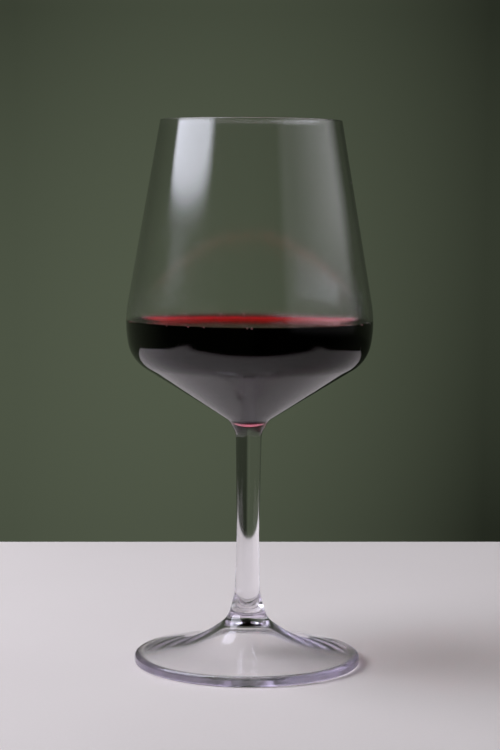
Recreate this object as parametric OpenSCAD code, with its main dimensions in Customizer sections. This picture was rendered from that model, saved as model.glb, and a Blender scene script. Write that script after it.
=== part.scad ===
// A stemmed glass of red wine: one clear turned shape, and the wine that fills its lower bowl.
// The origin is the middle of the base, on the surface that the glass stands on, and +Z is up.
// Outlines are half sections [radius, height] that turn about the Z axis. All sizes are in mm.

/* [Bowl] */
// Height of the whole glass
glass_h = 199.4; // [195:0.1:205]
// Radius of the rim, outside
rim_r = 33.0; // [31:0.1:36]
// Radius of the corner where the straight side meets the belly, outside
belly_r = 45.8; // [44:0.1:47]
// Height of that corner
belly_z = 125.8; // [122:0.1:130]
// Rounding of that corner
belly_round = 41.5; // [30:0.5:41.5]
// Radius of the corner where the belly turns into the lower cone, outside
turn_r = 43.25; // [41:0.05:44]
// Height of that corner
turn_z = 112.3; // [110:0.1:114]
// Rounding of that corner
turn_round = 14; // [8:0.5:14]
// Rounding of the belly on the inside
belly_inner_round = 38; // [28:1:38]
// Rounding of the turn into the lower cone on the inside
turn_inner_round = 12; // [7:0.5:12]
// Thickness of the wall at the rim
rim_wall = 1.1; // [0.8:0.05:1.6]
// Thickness of the wall at the belly
belly_wall = 1.3; // [0.9:0.05:1.8]
// Thickness of the lower cone, measured upright
cone_wall = 1.9; // [1.4:0.1:2.6]
// Height of the lowest point inside the bowl
floor_z = 88.8; // [88:0.1:89.4]
// Rounding of the bottom inside the bowl
floor_round = 9; // [6:0.5:10]

/* [Stem] */
// Radius where the lower cone runs into the neck
neck_r = 7.4; // [6.6:0.1:8.5]
// Height of that corner
neck_z = 90.0; // [89:0.1:91]
// Rounding of that corner
neck_round = 3.2; // [1.5:0.1:4.5]
// Radius of the top end of the stem
stem_top_r = 4.75; // [4.4:0.05:5.5]
// Height of the top end of the stem
stem_top_z = 85.6; // [84.5:0.1:86]
// Rounding between the neck and the stem
stem_top_round = 6.2; // [3:0.1:8]
// Radius that the two tapers of the stem would meet at
waist_r = 4.08; // [3.7:0.01:4.4]
// Height of the waist of the stem
waist_z = 46.5; // [42:0.5:52]
// Rounding of the waist, which makes the stem one long hollow curve
waist_round = 300; // [150:10:400]
// Radius of the bottom end of the stem
stem_low_r = 4.75; // [4.5:0.05:5.2]
// Height of the bottom end of the stem
stem_low_z = 25.5; // [24.5:0.5:28]
// Rounding between the stem and its flare
stem_low_round = 16; // [8:1:20]

/* [Foot] */
// Radius of the foot, outside
foot_r = 41.6; // [39:0.1:44]
// Height of the edge of the foot
foot_edge_h = 3.6; // [3:0.1:4.2]
// Rounding of the top of the edge
edge_round = 1.6; // [1:0.1:1.8]
// Rounding of the bottom of the edge
ground_round = 1.0; // [0.5:0.1:1.3]
// Radius where the flare of the stem meets the foot
flare_r = 7.2; // [6.8:0.1:7.6]
// Height of that corner
flare_z = 16.6; // [16:0.1:17.4]
// Rounding of that corner
flare_round = 8.5; // [5:0.5:9]
// Radius where the slope of the foot flattens
slope_r = 18.3; // [17:0.1:20]
// Height of that corner
slope_z = 8.1; // [7.5:0.1:8.8]
// Rounding of that corner
slope_round = 42; // [25:1:44]
// Width of the flat ring that the glass stands on
ring_w = 2.4; // [1.6:0.1:3.5]
// Thickness of the foot, measured upright
foot_wall = 3.0; // [2.6:0.1:3.4]
// Height of the middle of the hollow under the foot
hollow_z = 15.6; // [14.6:0.1:16.2]
// Rounding of the middle of the hollow
hollow_round = 4; // [3:0.5:6]
// Rounding of the shoulder of the hollow, under the flare of the stem
shoulder_round = 12; // [6:1:14]

/* [Wine] */
// Height of the flat surface of the wine
level_z = 124.5; // [118:0.1:135]
// Height that the wine climbs at the wall
climb = 2.4; // [1.5:0.1:2.8]
// Distance from the wall over which the climb fades
climb_fade = 2.2; // [1.8:0.1:2.6]

/* [Hidden] */

$fn = 180;
ARC_STEP_DEG = 5;
ARC_STEP_MM = 3;
CLIMB_STEPS = 12;
CLIMB_REACH = 5;
lip_round = rim_wall * 0.49;

// Corners of the outside, from the ground up: [radius, height, rounding]
OUTSIDE = [
  [foot_r - ring_w - ground_round, 0, 0],
  [foot_r - 0.1, 0, ground_round],
  [foot_r, foot_edge_h, edge_round],
  [slope_r, slope_z, slope_round],
  [flare_r, flare_z, flare_round],
  [stem_low_r, stem_low_z, stem_low_round],
  [waist_r, waist_z, waist_round],
  [stem_top_r, stem_top_z, stem_top_round],
  [neck_r, neck_z, neck_round],
  [turn_r, turn_z, turn_round],
  [belly_r, belly_z, belly_round],
  [rim_r, glass_h, lip_round]
];

// Corners of the inside of the bowl, from the rim down
INSIDE = [
  [rim_r - rim_wall, glass_h, lip_round],
  [belly_r - belly_wall, belly_z, belly_inner_round],
  [turn_r - belly_wall * 0.75, turn_z + cone_wall * 0.75, turn_inner_round]
];

// Corners of the hollow under the foot, from its middle out
UNDERSIDE = [
  [flare_r, flare_z - foot_wall, shoulder_round],
  [slope_r, slope_z - foot_wall, slope_round],
  [foot_r - ring_w - ground_round, 0, 0]
];

function radius_height(c) = [c[0], c[1]];

function unit(v) = v / norm(v);

function heading(v) = atan2(v[1], v[0]);

// The shorter way round from one heading to another, in degrees
function turn_between(from, to) =
  let (d = to - from) d > 180 ? d - 360 : d < -180 ? d + 360 : d;

// Points along an arc
function arc(centre, r, from, sweep) =
  let (steps = ceil(max(abs(sweep) / ARC_STEP_DEG, r * abs(sweep) * PI / 180 / ARC_STEP_MM)))
  [for (k = [0 : steps]) centre + r * [cos(from + sweep * k / steps), sin(from + sweep * k / steps)]];

// The arc that rounds the corner p between its neighbours a and b
function rounded_corner(a, p, b, r) =
  let (
    to_a = unit(a - p),
    to_b = unit(b - p),
    half = acos(to_a * to_b) / 2,
    centre = p + unit(to_a + to_b) * r / sin(half),
    from = heading(p + to_a * r / tan(half) - centre),
    to = heading(p + to_b * r / tan(half) - centre)
  )
  arc(centre, r, from, turn_between(from, to));

// A path through corners, each rounded by its own radius, with sharp ends
function rounded_path(c) = [
  for (i = [0 : len(c) - 1])
    each i == 0 || i == len(c) - 1 || c[i][2] == 0
      ? [radius_height(c[i])]
      : rounded_corner(radius_height(c[i - 1]), radius_height(c[i]), radius_height(c[i + 1]), c[i][2])
];

// The rounded middle of a hollow: an arc from the axis that meets the line to a corner smoothly.
// side is 1 for a floor that opens upwards, and -1 for a hollow that opens downwards.
function rounded_middle(z, r, corner, side) =
  let (
    reach = [corner[0], side * (corner[1] - z) - r],
    lean = 90 + heading(reach) - acos(r / norm(reach)),
    steps = ceil(lean / ARC_STEP_DEG)
  )
  [for (k = [0 : steps]) [r * sin(lean * k / steps), z + side * r * (1 - cos(lean * k / steps))]];

floor_middle = rounded_middle(floor_z, floor_round, INSIDE[2], 1);
hollow_middle = rounded_middle(hollow_z, hollow_round, UNDERSIDE[0], -1);
hollow_end = hollow_middle[len(hollow_middle) - 1];
floor_end = floor_middle[len(floor_middle) - 1];

// The whole glass, round its section once: from the middle of the hollow out to the ground ring,
// up the outside, over the lip and down the inside to the middle of the floor
inner_corners = concat(INSIDE, [concat(floor_end, 0)]);
hollow_path = rounded_path(concat([concat(hollow_end, 0)], UNDERSIDE));
wall_path = rounded_path(concat(OUTSIDE, inner_corners));
glass_outline = concat(
  hollow_middle,
  [for (i = [1 : len(hollow_path) - 2]) hollow_path[i]],
  wall_path,
  [for (i = [len(floor_middle) - 2 : -1 : 0]) floor_middle[i]]
);

// The inside of the bowl alone, from the floor up, and its radius at any height
inner_path = rounded_path(concat([[rim_r - rim_wall, glass_h + 1, 0]], inner_corners));
inner_wall = concat(floor_middle, [for (i = [len(inner_path) - 2 : -1 : 0]) inner_path[i]]);
contact_z = level_z + climb;
contact_r = lookup(contact_z, [for (p = inner_wall) [p[1], p[0]]]);

// The surface of the wine from the wall inwards: it climbs the wall and fades to level
wine_top = [
  for (k = [0 : CLIMB_STEPS])
    let (x = CLIMB_REACH * climb_fade * pow(k / CLIMB_STEPS, 2))
    [contact_r - x, level_z + climb * (exp(-x / climb_fade) - exp(-CLIMB_REACH)) / (1 - exp(-CLIMB_REACH))]
];
wine_outline = concat(
  [for (p = inner_wall) if (p[1] < contact_z - 0.01) p],
  wine_top,
  [[0, level_z]]
);

module glass() {
  color([0.86, 0.88, 0.92, 0.35])
    rotate_extrude() polygon(glass_outline);
}

module wine() {
  color([0.30, 0.01, 0.04])
    rotate_extrude() polygon(wine_outline);
}

glass();
wine();
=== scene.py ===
# %% [markdown]
# # A glass of red wine
# This notebook dresses a stemmed glass of red wine that was first drawn as exact solids. The solids say
# where everything is and how big it is, and this script makes the pieces that are looked at: a clear
# turned glass with a smooth, dense surface, the wine with its curved edge, and the small bubbles that
# gather round it. It starts by loading the solids, which stay where they are as a fixed frame.

# %% Load the frame
import math
import random

import bpy
import numpy as np
from mathutils import Matrix, Vector


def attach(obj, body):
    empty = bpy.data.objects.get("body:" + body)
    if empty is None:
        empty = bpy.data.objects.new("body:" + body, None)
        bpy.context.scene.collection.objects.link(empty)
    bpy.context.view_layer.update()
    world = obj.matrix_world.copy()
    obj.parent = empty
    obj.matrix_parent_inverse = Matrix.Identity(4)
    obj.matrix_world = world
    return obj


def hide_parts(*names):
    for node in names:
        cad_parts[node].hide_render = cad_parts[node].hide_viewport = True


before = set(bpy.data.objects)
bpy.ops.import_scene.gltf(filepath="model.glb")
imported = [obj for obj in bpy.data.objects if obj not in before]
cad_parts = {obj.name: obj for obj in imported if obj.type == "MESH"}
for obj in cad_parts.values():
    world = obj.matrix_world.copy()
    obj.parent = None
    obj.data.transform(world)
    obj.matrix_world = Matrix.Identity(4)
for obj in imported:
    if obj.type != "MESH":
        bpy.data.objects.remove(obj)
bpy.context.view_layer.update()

MM = 0.001

# %% [markdown]
# ## The outline of the glass
# A blown or moulded glass is a body of revolution, so one half section says everything about its shape.
# The section could be a long list of points, but a glassmaker thinks in a few corners and in how softly
# each one is rounded, and that is also what a reader can change. Each corner below is a radius, a height
# and a rounding, in millimetres, and they are the same sizes that the solids were made from.

# %% Corners of the half section
GLASS_HEIGHT = 199.4
RIM_WALL = 1.1
BELLY_WALL = 1.3
CONE_WALL = 1.9
FOOT_WALL = 3.0
RIM_RADIUS = 33.0
LIP_ROUND = RIM_WALL * 0.49
GROUND_INNER = 38.2

FLARE_RADIUS, FLARE_HEIGHT = 7.2, 16.6
SLOPE_RADIUS, SLOPE_HEIGHT, SLOPE_ROUND = 18.3, 8.1, 42.0
TURN_RADIUS, TURN_HEIGHT = 43.25, 112.3
BELLY_RADIUS, BELLY_HEIGHT = 45.8, 125.8
TURN_SHARE = 0.75

HOLLOW_MIDDLE = (15.6, 4.0)
FLOOR_MIDDLE = (88.8, 9.0)

UNDERSIDE = [
    (FLARE_RADIUS, FLARE_HEIGHT - FOOT_WALL, 12.0),
    (SLOPE_RADIUS, SLOPE_HEIGHT - FOOT_WALL, SLOPE_ROUND),
    (GROUND_INNER, 0.0, 0.0),
]
FOOT = [
    (41.5, 0.0, 1.0),
    (41.6, 3.6, 1.6),
    (SLOPE_RADIUS, SLOPE_HEIGHT, SLOPE_ROUND),
    (FLARE_RADIUS, FLARE_HEIGHT, 8.5),
]
STEM = [(4.75, 25.5, 16.0), (4.08, 46.5, 300.0), (4.75, 85.6, 6.2)]
BOWL = [
    (7.4, 90.0, 3.2),
    (TURN_RADIUS, TURN_HEIGHT, 14.0),
    (BELLY_RADIUS, BELLY_HEIGHT, 41.5),
    (RIM_RADIUS, GLASS_HEIGHT, LIP_ROUND),
]
INSIDE = [
    (RIM_RADIUS - RIM_WALL, GLASS_HEIGHT, LIP_ROUND),
    (BELLY_RADIUS - BELLY_WALL, BELLY_HEIGHT, 38.0),
    (TURN_RADIUS - BELLY_WALL * TURN_SHARE, TURN_HEIGHT + CONE_WALL * TURN_SHARE, 12.0),
]
print("corners:", len(UNDERSIDE + FOOT + STEM + BOWL + INSIDE))

# %% [markdown]
# ## Rounding the corners
# Every corner becomes an arc that meets both of its sides smoothly. The middle of the bowl's floor and
# the middle of the hollow under the foot lie on the axis, where there is no corner to round, so each gets
# an arc that starts level on the axis and runs into the next slope. Straight runs are then cut into short
# steps, because a smooth shaded surface bends light evenly only when its rings are close together.

# %% Arcs, paths and even steps
ARC_STEP = math.radians(4.0)
RING_STEP = 1.35


def arc(centre, radius, start, sweep):
    """Points along an arc, closer together where it turns more."""
    steps = max(1, math.ceil(max(abs(sweep) / ARC_STEP, radius * abs(sweep) / RING_STEP)))
    angles = start + sweep * np.arange(steps + 1) / steps
    return np.stack([centre[0] + radius * np.cos(angles), centre[1] + radius * np.sin(angles)], 1)


def rounded_corner(before, corner, after, radius):
    """The arc that rounds one corner between its two neighbours."""
    back = before - corner
    ahead = after - corner
    back = back / np.linalg.norm(back)
    ahead = ahead / np.linalg.norm(ahead)
    half = math.acos(float(np.clip(back @ ahead, -1, 1))) / 2
    bisector = (back + ahead) / np.linalg.norm(back + ahead)
    centre = corner + bisector * radius / math.sin(half)
    first = corner + back * radius / math.tan(half) - centre
    last = corner + ahead * radius / math.tan(half) - centre
    start = math.atan2(first[1], first[0])
    sweep = (math.atan2(last[1], last[0]) - start + math.pi) % (2 * math.pi) - math.pi
    return arc(centre, radius, start, sweep)


def rounded_path(corners):
    """A path through corners, each rounded by its own radius, with sharp ends."""
    points = [np.array(corner[:2]) for corner in corners]
    path = [points[0][None]]
    for i in range(1, len(corners) - 1):
        radius = corners[i][2]
        if radius == 0:
            path.append(points[i][None])
        else:
            path.append(rounded_corner(points[i - 1], points[i], points[i + 1], radius))
    path.append(points[-1][None])
    return np.concatenate(path)


def rounded_middle(height, radius, corner, side):
    """An arc from the axis that meets the line to a corner smoothly; side is 1 for a floor, -1 for a roof."""
    reach = np.array([corner[0], side * (corner[1] - height) - radius])
    lean = math.pi / 2 + math.atan2(reach[1], reach[0]) - math.acos(radius / np.linalg.norm(reach))
    steps = math.ceil(lean / ARC_STEP)
    turns = lean * np.arange(steps + 1) / steps
    return np.stack([radius * np.sin(turns), height + side * radius * (1 - np.cos(turns))], 1)


def even_steps(path, step=RING_STEP):
    """The same path with every long straight run cut into short steps."""
    out = [path[:1]]
    for a, b in zip(path[:-1], path[1:]):
        count = max(1, math.ceil(np.linalg.norm(b - a) / step))
        out.append(a + (b - a) * (np.arange(1, count + 1) / count)[:, None])
    return np.concatenate(out)


floor_middle = rounded_middle(*FLOOR_MIDDLE, INSIDE[-1], 1)
hollow_middle = rounded_middle(*HOLLOW_MIDDLE, UNDERSIDE[0], -1)
underside = rounded_path([(*hollow_middle[-1], 0)] + UNDERSIDE)
wall = rounded_path([UNDERSIDE[-1]] + FOOT + STEM + BOWL + INSIDE + [(*floor_middle[-1], 0)])
print("points on the wall path:", len(wall))

# %% [markdown]
# ## Where the wine meets the wall
# The wine's still surface lies at one height, but at the glass it climbs a little, because the liquid
# wets the wall. Below the line where it stops climbing, the inside of the bowl touches wine and not air,
# and light bends far less there. So the half section gets a point exactly on that contact line, and the
# rings below it are remembered as wetted.

# %% The contact line
LEVEL = 124.5
CLIMB = 2.4
CLIMB_FADE = 2.2
CONTACT = LEVEL + CLIMB
CLEAR_OF_CONTACT = 0.2

lip = int(np.argmax(wall[:, 1]))
inner_wall = np.concatenate([floor_middle[:-1], wall[lip:][::-1]])
contact_radius = float(np.interp(CONTACT, inner_wall[:, 1], inner_wall[:, 0]))
print(f"contact line: radius {contact_radius:.2f} mm at height {CONTACT:.1f} mm")

outside = even_steps(wall[:lip + 1])
dry_inside = wall[lip:][wall[lip:, 1] > CONTACT + CLEAR_OF_CONTACT]
wet_inside = inner_wall[inner_wall[:, 1] < CONTACT - CLEAR_OF_CONTACT][::-1]
contact_point = np.array([[contact_radius, CONTACT]])
dry_inside = even_steps(np.concatenate([dry_inside, contact_point]))
wet_inside = even_steps(np.concatenate([contact_point, wet_inside]))
foot_hollow = even_steps(np.concatenate([hollow_middle[:-1], underside]))
glass_section = np.concatenate([foot_hollow, outside[1:], dry_inside[1:], wet_inside[1:]])
first_wet_ring = len(glass_section) - len(wet_inside)
print("rings in the glass:", len(glass_section), "first wetted ring:", first_wet_ring)

# %% [markdown]
# ## Turning a section on the lathe
# A Screw modifier would also spin the section, but building the rings directly keeps the poles on the
# axis as clean fans of triangles, gives every face a mark that a finish can read, and lets each ring be
# very slightly out of round. No real glass is a perfect circle: its sides carry faint upright draw lines,
# which break up the edge of a long reflection. Here they are a sum of waves, usually about a hundredth of a
# millimetre high and at most about 0.025 millimetres either way.

# %% The lathe
AROUND = 224
DRAW_DEPTH = 0.008
DRAW_WAVES = range(2, 26)
DRAW_DRIFT = 0.02
DRAW_START = 92.0
DRAW_FADE = 20.0


def draw_lines(seed, depth):
    """A function of angle and height that gives the small departures from round, in millimetres."""
    chance = random.Random(seed)
    waves = []
    for k in DRAW_WAVES:
        phase = chance.uniform(0, 2 * math.pi)
        drift = chance.uniform(-DRAW_DRIFT, DRAW_DRIFT)
        waves.append((k, depth / k ** 0.5, phase, drift))

    def departure(angle, height):
        fade = min(1.0, max(0.0, (height - DRAW_START) / DRAW_FADE))
        ripples = (size * np.sin(k * angle + phase + drift * height) for k, size, phase, drift in waves)
        return fade * sum(ripples)

    return departure


def turned(name, section, marks, mark_name, departure=None):
    """A closed mesh from a half section in millimetres that starts and ends on the axis."""
    angle = 2 * math.pi * np.arange(AROUND) / AROUND
    verts = []
    rings = []
    for radius, height in section:
        if radius < 1e-6:
            rings.append([len(verts)])
            verts.append((0.0, 0.0, height * MM))
            continue
        swell = 0.0 if departure is None else departure(angle, height)
        spread = (radius + swell) * MM
        rings.append(range(len(verts), len(verts) + AROUND))
        verts.extend(zip(spread * np.cos(angle), spread * np.sin(angle), np.full(AROUND, height * MM)))
    faces = []
    face_marks = []
    for i, (low, high) in enumerate(zip(rings[:-1], rings[1:])):
        for j in range(AROUND):
            k = (j + 1) % AROUND
            if len(low) == 1:
                faces.append((low[0], high[k], high[j]))
            elif len(high) == 1:
                faces.append((low[j], low[k], high[0]))
            else:
                faces.append((low[j], low[k], high[k], high[j]))
            face_marks.append(marks[i])
    mesh = bpy.data.meshes.new(name)
    mesh.from_pydata(verts, [], faces)
    mesh.polygons.foreach_set("use_smooth", [True] * len(faces))
    mesh.attributes.new(mark_name, "FLOAT", "FACE").data.foreach_set("value", face_marks)
    mesh.update()
    piece = bpy.data.objects.new(name, mesh)
    bpy.context.scene.collection.objects.link(piece)
    return piece


def size_mm(piece):
    """The sides of a piece's box, in millimetres, for the prints."""
    return [round(side / MM, 1) for side in piece.dimensions]


# %% [markdown]
# ## The glass
# The bowl, stem and foot of the real object are one piece of clear glass with no seam, so they are one
# closed mesh here. Its marks are 1 on the faces that touch wine.

# %% Turn the glass
glass_marks = [1.0 if i >= first_wet_ring else 0.0 for i in range(len(glass_section) - 1)]
glass = turned("wine_glass", glass_section, glass_marks, "wetted", draw_lines(7, DRAW_DEPTH))
print("glass, mm:", size_mm(glass), "faces:", len(glass.data.polygons))

# %% [markdown]
# ## The wine
# The wine fills the lower bowl. In the real thing there is no gap between wine and glass, and in a model
# two surfaces in the same place flicker, so the wine reaches 0.12 millimetres into the wall. Its
# top is level in the middle and curls up at the edge in a falling exponential, as wetting liquids do: that
# thin rim is the only place where light gets through, which is why it glows bright red.

# %% Turn the wine
INTO_WALL = 0.12
CLIMB_STEPS = 40
CLIMB_REACH = 7.0
LEVEL_STEP = 3.0

side = wet_inside[::-1].copy()
lengths = np.gradient(side, axis=0)
outward = np.stack([lengths[:, 1], -lengths[:, 0]], 1)
outward /= np.linalg.norm(outward, axis=1)[:, None]
outward[0] = (0.0, -1.0)
side = side + outward * INTO_WALL
side[0, 0] = 0.0
side[-1, 1] = CONTACT
from_wall = CLIMB_REACH * CLIMB_FADE * (np.arange(CLIMB_STEPS + 1) / CLIMB_STEPS) ** 2
climb = CLIMB * np.exp(-from_wall / CLIMB_FADE)
climb[-1] = 0.0
edge = np.stack([contact_radius - from_wall, LEVEL + climb], 1)
level_middle = even_steps(np.array([edge[-1], (0.0, LEVEL)]), LEVEL_STEP)[1:]
wine_section = np.concatenate([side, edge, level_middle])
wine_marks = [1.0 if i >= len(side) - 1 else 0.0 for i in range(len(wine_section) - 1)]
wine = turned("red_wine", wine_section, wine_marks, "open_top")
print("wine, mm:", size_mm(wine), "faces:", len(wine.data.polygons))

# %% [markdown]
# ## Bubbles at the edge
# A few small bubbles from the pour still cling where the wine meets the glass. Each is a flattened ball,
# 0.56 to 0.88 millimetres across, that sits on the curled edge. A random draw would spread them evenly,
# and real ones gather in a few places, so each is listed: by its direction round the glass, where
# 0 degrees is to the right and -90 degrees is towards the viewer, and by its radius in millimetres.

# %% Blow the bubbles
BUBBLES = [
    (-165, 0.42), (-162, 0.34), (-157, 0.30), (-131, 0.30), (-119, 0.36), (-111, 0.28), (-91, 0.34),
    (-89, 0.42), (-26, 0.36), (-14, 0.40), (93, 0.36), (105, 0.42), (125, 0.38), (138, 0.44),
]
FLATTENED = 0.8
OFF_THE_WALL = 0.1
BUBBLE_RINGS = 8
BUBBLE_AROUND = 14


def bubble_points(middle, radius):
    """Vertices of one slightly flattened ball, from its lower pole to its upper one."""
    points = [middle + Vector((0, 0, -FLATTENED * radius))]
    for i in range(1, BUBBLE_RINGS):
        lift = -math.cos(math.pi * i / BUBBLE_RINGS)
        spread = math.sin(math.pi * i / BUBBLE_RINGS)
        for j in range(BUBBLE_AROUND):
            turn = 2 * math.pi * j / BUBBLE_AROUND
            way = Vector((spread * math.cos(turn), spread * math.sin(turn), FLATTENED * lift))
            points.append(middle + radius * way)
    points.append(middle + Vector((0, 0, FLATTENED * radius)))
    return points


def bubble_faces(start):
    """Faces of one ball whose first vertex has that number."""
    top = start + 1 + (BUBBLE_RINGS - 1) * BUBBLE_AROUND
    faces = []
    for j in range(BUBBLE_AROUND):
        k = (j + 1) % BUBBLE_AROUND
        faces.append((start, start + 1 + k, start + 1 + j))
        for i in range(BUBBLE_RINGS - 2):
            low = start + 1 + i * BUBBLE_AROUND
            high = low + BUBBLE_AROUND
            faces.append((low + j, low + k, high + k, high + j))
        last = top - BUBBLE_AROUND
        faces.append((last + j, last + k, top))
    return faces


bubble_verts = []
bubble_quads = []
for direction, radius in BUBBLES:
    turn = math.radians(direction)
    away = radius + OFF_THE_WALL
    height = LEVEL + CLIMB * math.exp(-away / CLIMB_FADE) + 0.5 * radius
    spread = contact_radius - away
    middle = Vector((spread * math.cos(turn), spread * math.sin(turn), height)) * MM
    bubble_quads += bubble_faces(len(bubble_verts))
    bubble_verts += bubble_points(middle, radius * MM)
bubble_mesh = bpy.data.meshes.new("edge_bubbles")
bubble_mesh.from_pydata(bubble_verts, [], bubble_quads)
bubble_mesh.polygons.foreach_set("use_smooth", [True] * len(bubble_quads))
bubble_mesh.update()
bubbles = bpy.data.objects.new("edge_bubbles", bubble_mesh)
bpy.context.scene.collection.objects.link(bubbles)
print("bubbles:", len(BUBBLES), "faces:", len(bubble_quads))

# %% [markdown]
# ## Writing finishes as expressions
# A finish is a small graph of nodes. Placing the nodes by hand hides the idea, so a socket is wrapped in a
# class that knows arithmetic: adding or multiplying two of them adds the Math node that does it. Every
# other node comes from one method, which sets the node's settings first and then fills its sockets.

# %% The two small tools
class Value:
    """A number that flows between nodes, with arithmetic that builds Math nodes."""

    def __init__(self, socket):
        self.socket = socket

    def math(self, operation, first, second):
        node = self.socket.id_data.nodes.new("ShaderNodeMath")
        node.operation = operation
        for socket, value in zip(node.inputs, (first, second)):
            fill(socket, value)
        return Value(node.outputs[0])

    def __add__(self, other):
        return self.math("ADD", self, other)

    def __mul__(self, other):
        return self.math("MULTIPLY", self, other)

    def __sub__(self, other):
        return self.math("SUBTRACT", self, other)

    def __rsub__(self, other):
        return self.math("SUBTRACT", other, self)

    def __pow__(self, other):
        return self.math("POWER", self, other)

    __radd__ = __add__
    __rmul__ = __mul__


def fill(socket, value):
    """Links a socket to a value, or sets it."""
    if isinstance(value, Value):
        socket.id_data.links.new(value.socket, socket)
    else:
        socket.default_value = value


class Finish:
    """A material whose nodes are made by calling node()."""

    def __init__(self, name, tree_owner=None):
        self.owner = tree_owner or bpy.data.materials.new(name)
        self.owner.use_nodes = True
        self.tree = self.owner.node_tree
        self.tree.nodes.clear()

    def split(self, vector):
        """The three parts of a vector, as numbers."""
        first = self.node("ShaderNodeSeparateXYZ", vector=vector)
        return [Value(part) for part in first.socket.node.outputs]

    def node(self, kind, settings=None, output=0, **sockets):
        node = self.tree.nodes.new(kind)
        for key, value in (settings or {}).items():
            setattr(node, key, value)
        for key, value in sockets.items():
            fill(find_input(node, key), value)
        return Value(node.outputs[output]) if node.outputs else None


def find_input(node, key):
    """The input named by key, with underscores for spaces, or numbered, as in in_1."""
    if key.startswith("in_"):
        return node.inputs[int(key[3:])]
    return next(socket for socket in node.inputs if socket.name.replace(" ", "_").lower() == key)


print("node tools ready")

# %% [markdown]
# ## Clear glass
# Light slows in glass by half again, and that number, the index of refraction, gives clear glass nearly
# all of its look: the bright and dark lines at the edges, the upside-down room in the stem, and the
# reflections that grow towards the sides. Against wine the step is much smaller, so the wetted faces get
# the ratio of the two indices. Over a few centimetres real glass also has a colour, here a breath of
# lilac, which only shows where light travels along the foot to its edge.

# %% The glass finish
GLASS_INDEX = 1.5
WINE_INDEX = 1.34
POLISH = 0.08
CLEAR = (1.0, 1.0, 1.0, 1.0)

finish = Finish("clear_glass")
wetted = finish.node("ShaderNodeAttribute", {"attribute_name": "wetted"}, output="Fac")
dry_side = finish.node(
    "ShaderNodeBsdfPrincipled",
    base_color=CLEAR,
    roughness=POLISH,
    ior=GLASS_INDEX,
    transmission_weight=1.0,
)
wet_side = finish.node(
    "ShaderNodeBsdfPrincipled",
    base_color=CLEAR,
    roughness=0.0,
    ior=GLASS_INDEX / WINE_INDEX,
    transmission_weight=1.0,
)
surface = finish.node("ShaderNodeMixShader", fac=wetted, in_1=dry_side, in_2=wet_side)
depth = finish.node("ShaderNodeVolumeAbsorption", color=(0.74, 0.56, 1.0, 1.0), density=6.0)
finish.node("ShaderNodeOutputMaterial", surface=surface, volume=depth)
glass.data.materials.append(finish.owner)
print("glass against wine:", round(GLASS_INDEX / WINE_INDEX, 3))

# %% [markdown]
# ## Red wine
# Wine is clear, and its colour comes only from depth: the pigment takes green and blue within a
# millimetre or two, and red within a few centimetres. A painted surface can't do that, so the colour is an
# absorption inside the piece: almost none of the light survives the bowl's width, and the curled edge
# glows. The side of the piece lies inside the wall and must not bend light a second time, so its index is
# 1, and only the open top has the index of wine. A trace of roughness there stands for the finest ripples.

# %% The wine finish
CALM = 0.12

finish = Finish("red_wine")
open_top = finish.node("ShaderNodeAttribute", {"attribute_name": "open_top"}, output="Fac")
hidden_side = finish.node(
    "ShaderNodeBsdfPrincipled",
    base_color=CLEAR,
    roughness=0.0,
    ior=1.0,
    transmission_weight=1.0,
)
top_side = finish.node(
    "ShaderNodeBsdfPrincipled",
    base_color=CLEAR,
    roughness=CALM,
    ior=WINE_INDEX,
    transmission_weight=1.0,
)
surface = finish.node("ShaderNodeMixShader", fac=open_top, in_1=hidden_side, in_2=top_side)
depth = finish.node("ShaderNodeVolumeAbsorption", color=(0.92, 0.04, 0.22, 1.0), density=2000.0)
finish.node("ShaderNodeOutputMaterial", surface=surface, volume=depth)
wine.data.materials.append(finish.owner)
print("wine index:", WINE_INDEX)

# %% [markdown]
# ## Bubble film
# A bubble is a thin wet film, so it is mostly clear and catches the light in a few bright points. A little
# pale pink stands for the light that scatters where many thin films meet the wine.

# %% The bubble finish
finish = Finish("bubble_film")
surface = finish.node(
    "ShaderNodeBsdfPrincipled",
    base_color=(0.92, 0.76, 0.78, 1.0),
    roughness=0.12,
    ior=WINE_INDEX,
    transmission_weight=0.55,
)
finish.node("ShaderNodeOutputMaterial", surface=surface)
bubbles.data.materials.append(finish.owner)
print("bubble film ready")

# %% [markdown]
# ## The table top
# Glass shows what stands round it, so the stage matters as much as the piece. The glass stands on a plain
# pale board of finite size. Its near edge, its sides and its far edge are what the lower bowl and the stem
# mirror, so their distances are set with care. It is turned a little, as a board on a table often is, and
# its colour carries a painted shade that darkens it towards the near edge, for the shade of whoever stands
# there. Glass never touches a table over its whole ring, so six hundredths of a millimetre of air are left
# between them.

# %% Make the table top
BOARD_BACK = 0.2643
BOARD_FRONT = -0.2
BOARD_SIDE = 0.36
BOARD_THICK = 0.012
BOARD_BEVEL = 0.0006
SHADE_START = -0.15
AIR_GAP = 0.00006
BOARD_TURN = math.radians(2.89)


def slab(name, low, high, bevel):
    """A box between two corners with softly rounded edges."""
    mesh = bpy.data.meshes.new(name)
    corners = [(x, y, z) for z in (low[2], high[2]) for y in (low[1], high[1]) for x in (low[0], high[0])]
    faces = [(0, 2, 3, 1), (4, 5, 7, 6), (0, 1, 5, 4), (1, 3, 7, 5), (3, 2, 6, 7), (2, 0, 4, 6)]
    mesh.from_pydata(corners, [], faces)
    piece = bpy.data.objects.new(name, mesh)
    bpy.context.scene.collection.objects.link(piece)
    rounding = piece.modifiers.new("rounding", "BEVEL")
    rounding.width = bevel
    rounding.segments = 3
    return piece


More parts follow.
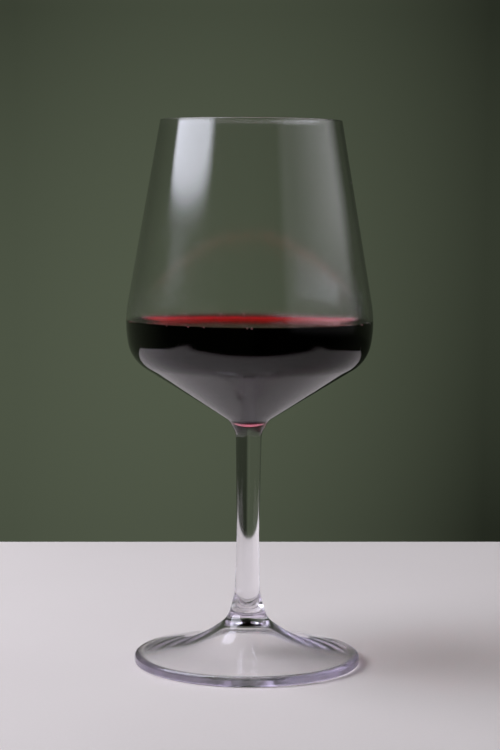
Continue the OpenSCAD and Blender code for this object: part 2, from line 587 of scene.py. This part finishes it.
board_low = (-BOARD_SIDE, BOARD_FRONT, -BOARD_THICK)
board_high = (BOARD_SIDE, BOARD_BACK, -AIR_GAP)
board = slab("table_top", board_low, board_high, BOARD_BEVEL)
board.rotation_euler.z = BOARD_TURN
finish = Finish("pale_board")
place = finish.node("ShaderNodeTexCoord", output="Object")
speckle = finish.node("ShaderNodeTexNoise", vector=place, scale=900.0, detail=3.0, roughness=0.6)
cloud = finish.node("ShaderNodeTexNoise", vector=place, scale=9.0, detail=2.0)
tone = speckle * 0.5 + cloud * 0.5
plain = finish.node(
    "ShaderNodeMix",
    {"data_type": "RGBA"},
    output=2,
    in_0=tone,
    in_6=(0.625, 0.575, 0.53, 1.0),
    in_7=(0.705, 0.655, 0.61, 1.0),
)
board_y = finish.split(place)[1]
# painted shade: towards its near edge the board's colour is mixed into a dark brown, for the shade of whoever
# stands there
painted_shade_near_edge = finish.node(
    "ShaderNodeMapRange",
    {"interpolation_type": "SMOOTHSTEP"},
    value=board_y,
    from_min=SHADE_START,
    from_max=BOARD_FRONT,
    to_min=0.0,
    to_max=1.0,
)
paint = finish.node(
    "ShaderNodeMix",
    {"data_type": "RGBA"},
    output=2,
    in_0=painted_shade_near_edge,
    in_6=plain,
    in_7=(0.24, 0.20, 0.19, 1.0),
)
relief = finish.node("ShaderNodeBump", strength=0.15, distance=0.0003, height=speckle)
surface = finish.node("ShaderNodeBsdfPrincipled", base_color=paint, roughness=0.62, normal=relief)
finish.node("ShaderNodeOutputMaterial", surface=surface)
board.data.materials.append(finish.owner)
print("table top, mm:", size_mm(board))

# %% [markdown]
# ## The room
# Behind the glass is a plain dark grey-green with a soft pool of light in it, brightest on the side that
# the lamp is on. The pool is a small formula in how far across and how far up one looks. In front of the
# glass, where the camera stands, the room is nearly black, and that is what makes the wine look black and
# the glass look clean. A world colour that depends only on direction does both.

# %% Colour the room
POOL_MIDDLE = 0.94
DIMMER_RIGHT = 1.8
DIMMER_UP = 1.6
FALL_ACROSS = 26
FALL_UP = 13
TWIST = 7

world = bpy.data.worlds.new("room")
bpy.context.scene.world = world
finish = Finish("room", world)
direction = finish.node("ShaderNodeTexCoord", output="Generated")
across, away, up = finish.split(direction)
side = finish.node("ShaderNodeClamp", value=across, min=-0.11, max=0.11)
lift = finish.node("ShaderNodeClamp", value=up, min=-0.16, max=0.08)
slant = POOL_MIDDLE - side * DIMMER_RIGHT - lift * DIMMER_UP
pool = slant - side * side * FALL_ACROSS - lift * lift * FALL_UP + side * lift * TWIST
near_shade = finish.node(
    "ShaderNodeMapRange",
    value=away,
    from_min=-0.2,
    from_max=0.5,
    to_min=0.12,
    to_max=1.0,
)
strength = pool * near_shade
air = finish.node("ShaderNodeBackground", color=(0.077, 0.092, 0.061, 1.0), strength=strength)
finish.node("ShaderNodeOutputWorld", surface=air)
print("room ready")

# %% [markdown]
# ## The lamps
# One large cool softbox stands high on the left. The straight side of the bowl mirrors only its lowest
# hand's breadth, so that edge draws the round end of the bright patch, and the lamp is placed by the two
# ends of its lower edge. A dim skirt hangs under it, and a faint card stands low on the left, past the side
# of the board, for the turn of the bowl to mirror. Two soft screens on the right give the milky reflection
# down that side. A real softbox is brightest in the middle and fades towards its corners, so each lamp's
# strength is worked out from the distance to an oval drawn in each corner.

# %% Hang the lamps
def round_the_corner(data, width, height, reach, feather):
    """Fades a lamp out towards its edges, as the cloth of a softbox does."""
    finish = Finish("softbox_cloth", data)
    spot = finish.node("ShaderNodeNewGeometry", output="Parametric")
    beyond = []
    for place, side, corner in zip(finish.split(spot), (width, height), reach):
        from_middle = (place - 0.5) * side
        past = from_middle.math("ABSOLUTE", from_middle, 0.0) - (side / 2 - corner)
        beyond.append(past.math("MAXIMUM", past, 0.0) * (1 / corner))
    distance = (beyond[0] * beyond[0] + beyond[1] * beyond[1]) ** 0.5
    glow = finish.node(
        "ShaderNodeMapRange",
        {"interpolation_type": "SMOOTHSTEP"},
        value=distance,
        from_min=1.0 - feather,
        from_max=1.0,
        to_min=1.0,
        to_max=0.0,
    )
    light = finish.node("ShaderNodeEmission", strength=glow)
    finish.node("ShaderNodeOutputLight", surface=light)


def soft_lamp(name, start, end, height, lean, radiance, colour, reach, feather):
    """A flat lamp that stands on the line from start to end and leans over towards the glass."""
    start = Vector(start)
    along = Vector(end) - start
    width = along.length
    across = along.normalized()
    upright = Matrix.Rotation(-lean, 3, across) @ Vector((0.0, 0.0, 1.0))
    facing = across.cross(upright)
    data = bpy.data.lights.new(name, "AREA")
    data.shape = "RECTANGLE"
    data.size = width
    data.size_y = height
    data.energy = radiance * math.pi * width * height
    data.color = colour
    round_the_corner(data, width, height, reach, feather)
    lamp = bpy.data.objects.new(name, data)
    middle = start + along / 2 + upright * height / 2
    lamp.matrix_world = Matrix.Translation(middle) @ Matrix((across, upright, facing)).transposed().to_4x4()
    lamp.visible_camera = False
    bpy.context.scene.collection.objects.link(lamp)
    print(f"{name}: {data.energy:.1f} W, middle at", [round(v, 2) for v in middle])
    return lamp


COOL = (0.86, 0.87, 1.0)
NEUTRAL = (0.97, 0.96, 1.0)
LEAN_IN = math.radians(32)
soft_lamp(
    "softbox_left", (-1.28, 0.34, 0.422), (-0.56, -0.60, 0.350),
    height=1.1, lean=LEAN_IN, radiance=6.6, colour=COOL, reach=(0.58, 0.075), feather=0.28,
)
soft_lamp(
    "skirt_left", (-1.14, 0.13, 0.30), (-0.66, -0.46, 0.28),
    height=0.12, lean=0.0, radiance=1.0, colour=COOL, reach=(0.35, 0.11), feather=0.95,
)
soft_lamp(
    "card_left", (-0.95, 0.30, -0.38), (-0.70, -0.30, -0.38),
    height=0.22, lean=0.0, radiance=0.2, colour=COOL, reach=(0.1, 0.1), feather=1.0,
)
soft_lamp(
    "window_right", (0.418, -0.42, 0.19), (0.607, 0.56, 0.19),
    height=0.64, lean=0.0, radiance=0.78, colour=NEUTRAL, reach=(0.49, 0.09), feather=1.0,
)
soft_lamp(
    "screen_right", (0.37, -0.66, 0.03), (0.56, 0.32, 0.03),
    height=0.8, lean=0.0, radiance=0.36, colour=NEUTRAL, reach=(0.2, 0.2), feather=0.95,
)

# %% [markdown]
# ## The camera
# A long lens, a little below the rim, looks slightly down. From there the rim is seen from just beneath
# and the foot from above, so the same glass shows both its near and its far edges. The camera leans by
# half a degree, as a camera on a tripod often does. Light crosses many faces of glass on its way, so the
# renderer is told to follow more bounces than usual and not to blur what is seen through the glass.

# %% Place the camera
LENS = 101.35
STAND = Vector((0.0003, -0.7705, 0.17575))
LOOK_DOWN = math.radians(5.127)
LEAN = math.radians(0.48)
BOUNCES = 28

camera_data = bpy.data.cameras.new("camera")
camera_data.lens = LENS
camera_data.sensor_width = 36.0
camera = bpy.data.objects.new("camera", camera_data)
aim = Matrix.Rotation(math.pi / 2 - LOOK_DOWN, 4, "X") @ Matrix.Rotation(LEAN, 4, "Z")
camera.matrix_world = Matrix.Translation(STAND) @ aim
bpy.context.scene.collection.objects.link(camera)
bpy.context.scene.camera = camera
bpy.context.scene.view_settings.view_transform = "Standard"
bpy.context.scene.cycles.max_bounces = BOUNCES
bpy.context.scene.cycles.transmission_bounces = BOUNCES
bpy.context.scene.cycles.glossy_bounces = BOUNCES
bpy.context.scene.cycles.blur_glossy = 0.0
print("camera at", [round(v, 3) for v in STAND])

# %% [markdown]
# ## Handing the pieces over
# Each piece rides on the root body of the frame, and the solids of the glass and of the wine, which the
# turned pieces stand in for, are hidden.

# %% Ride and replace
for piece, slot in ((glass, "clear_glass"), (wine, "red_wine"), (bubbles, "red_wine")):
    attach(piece, "root")
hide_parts("glass")
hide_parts("wine")
bpy.context.view_layer.update()
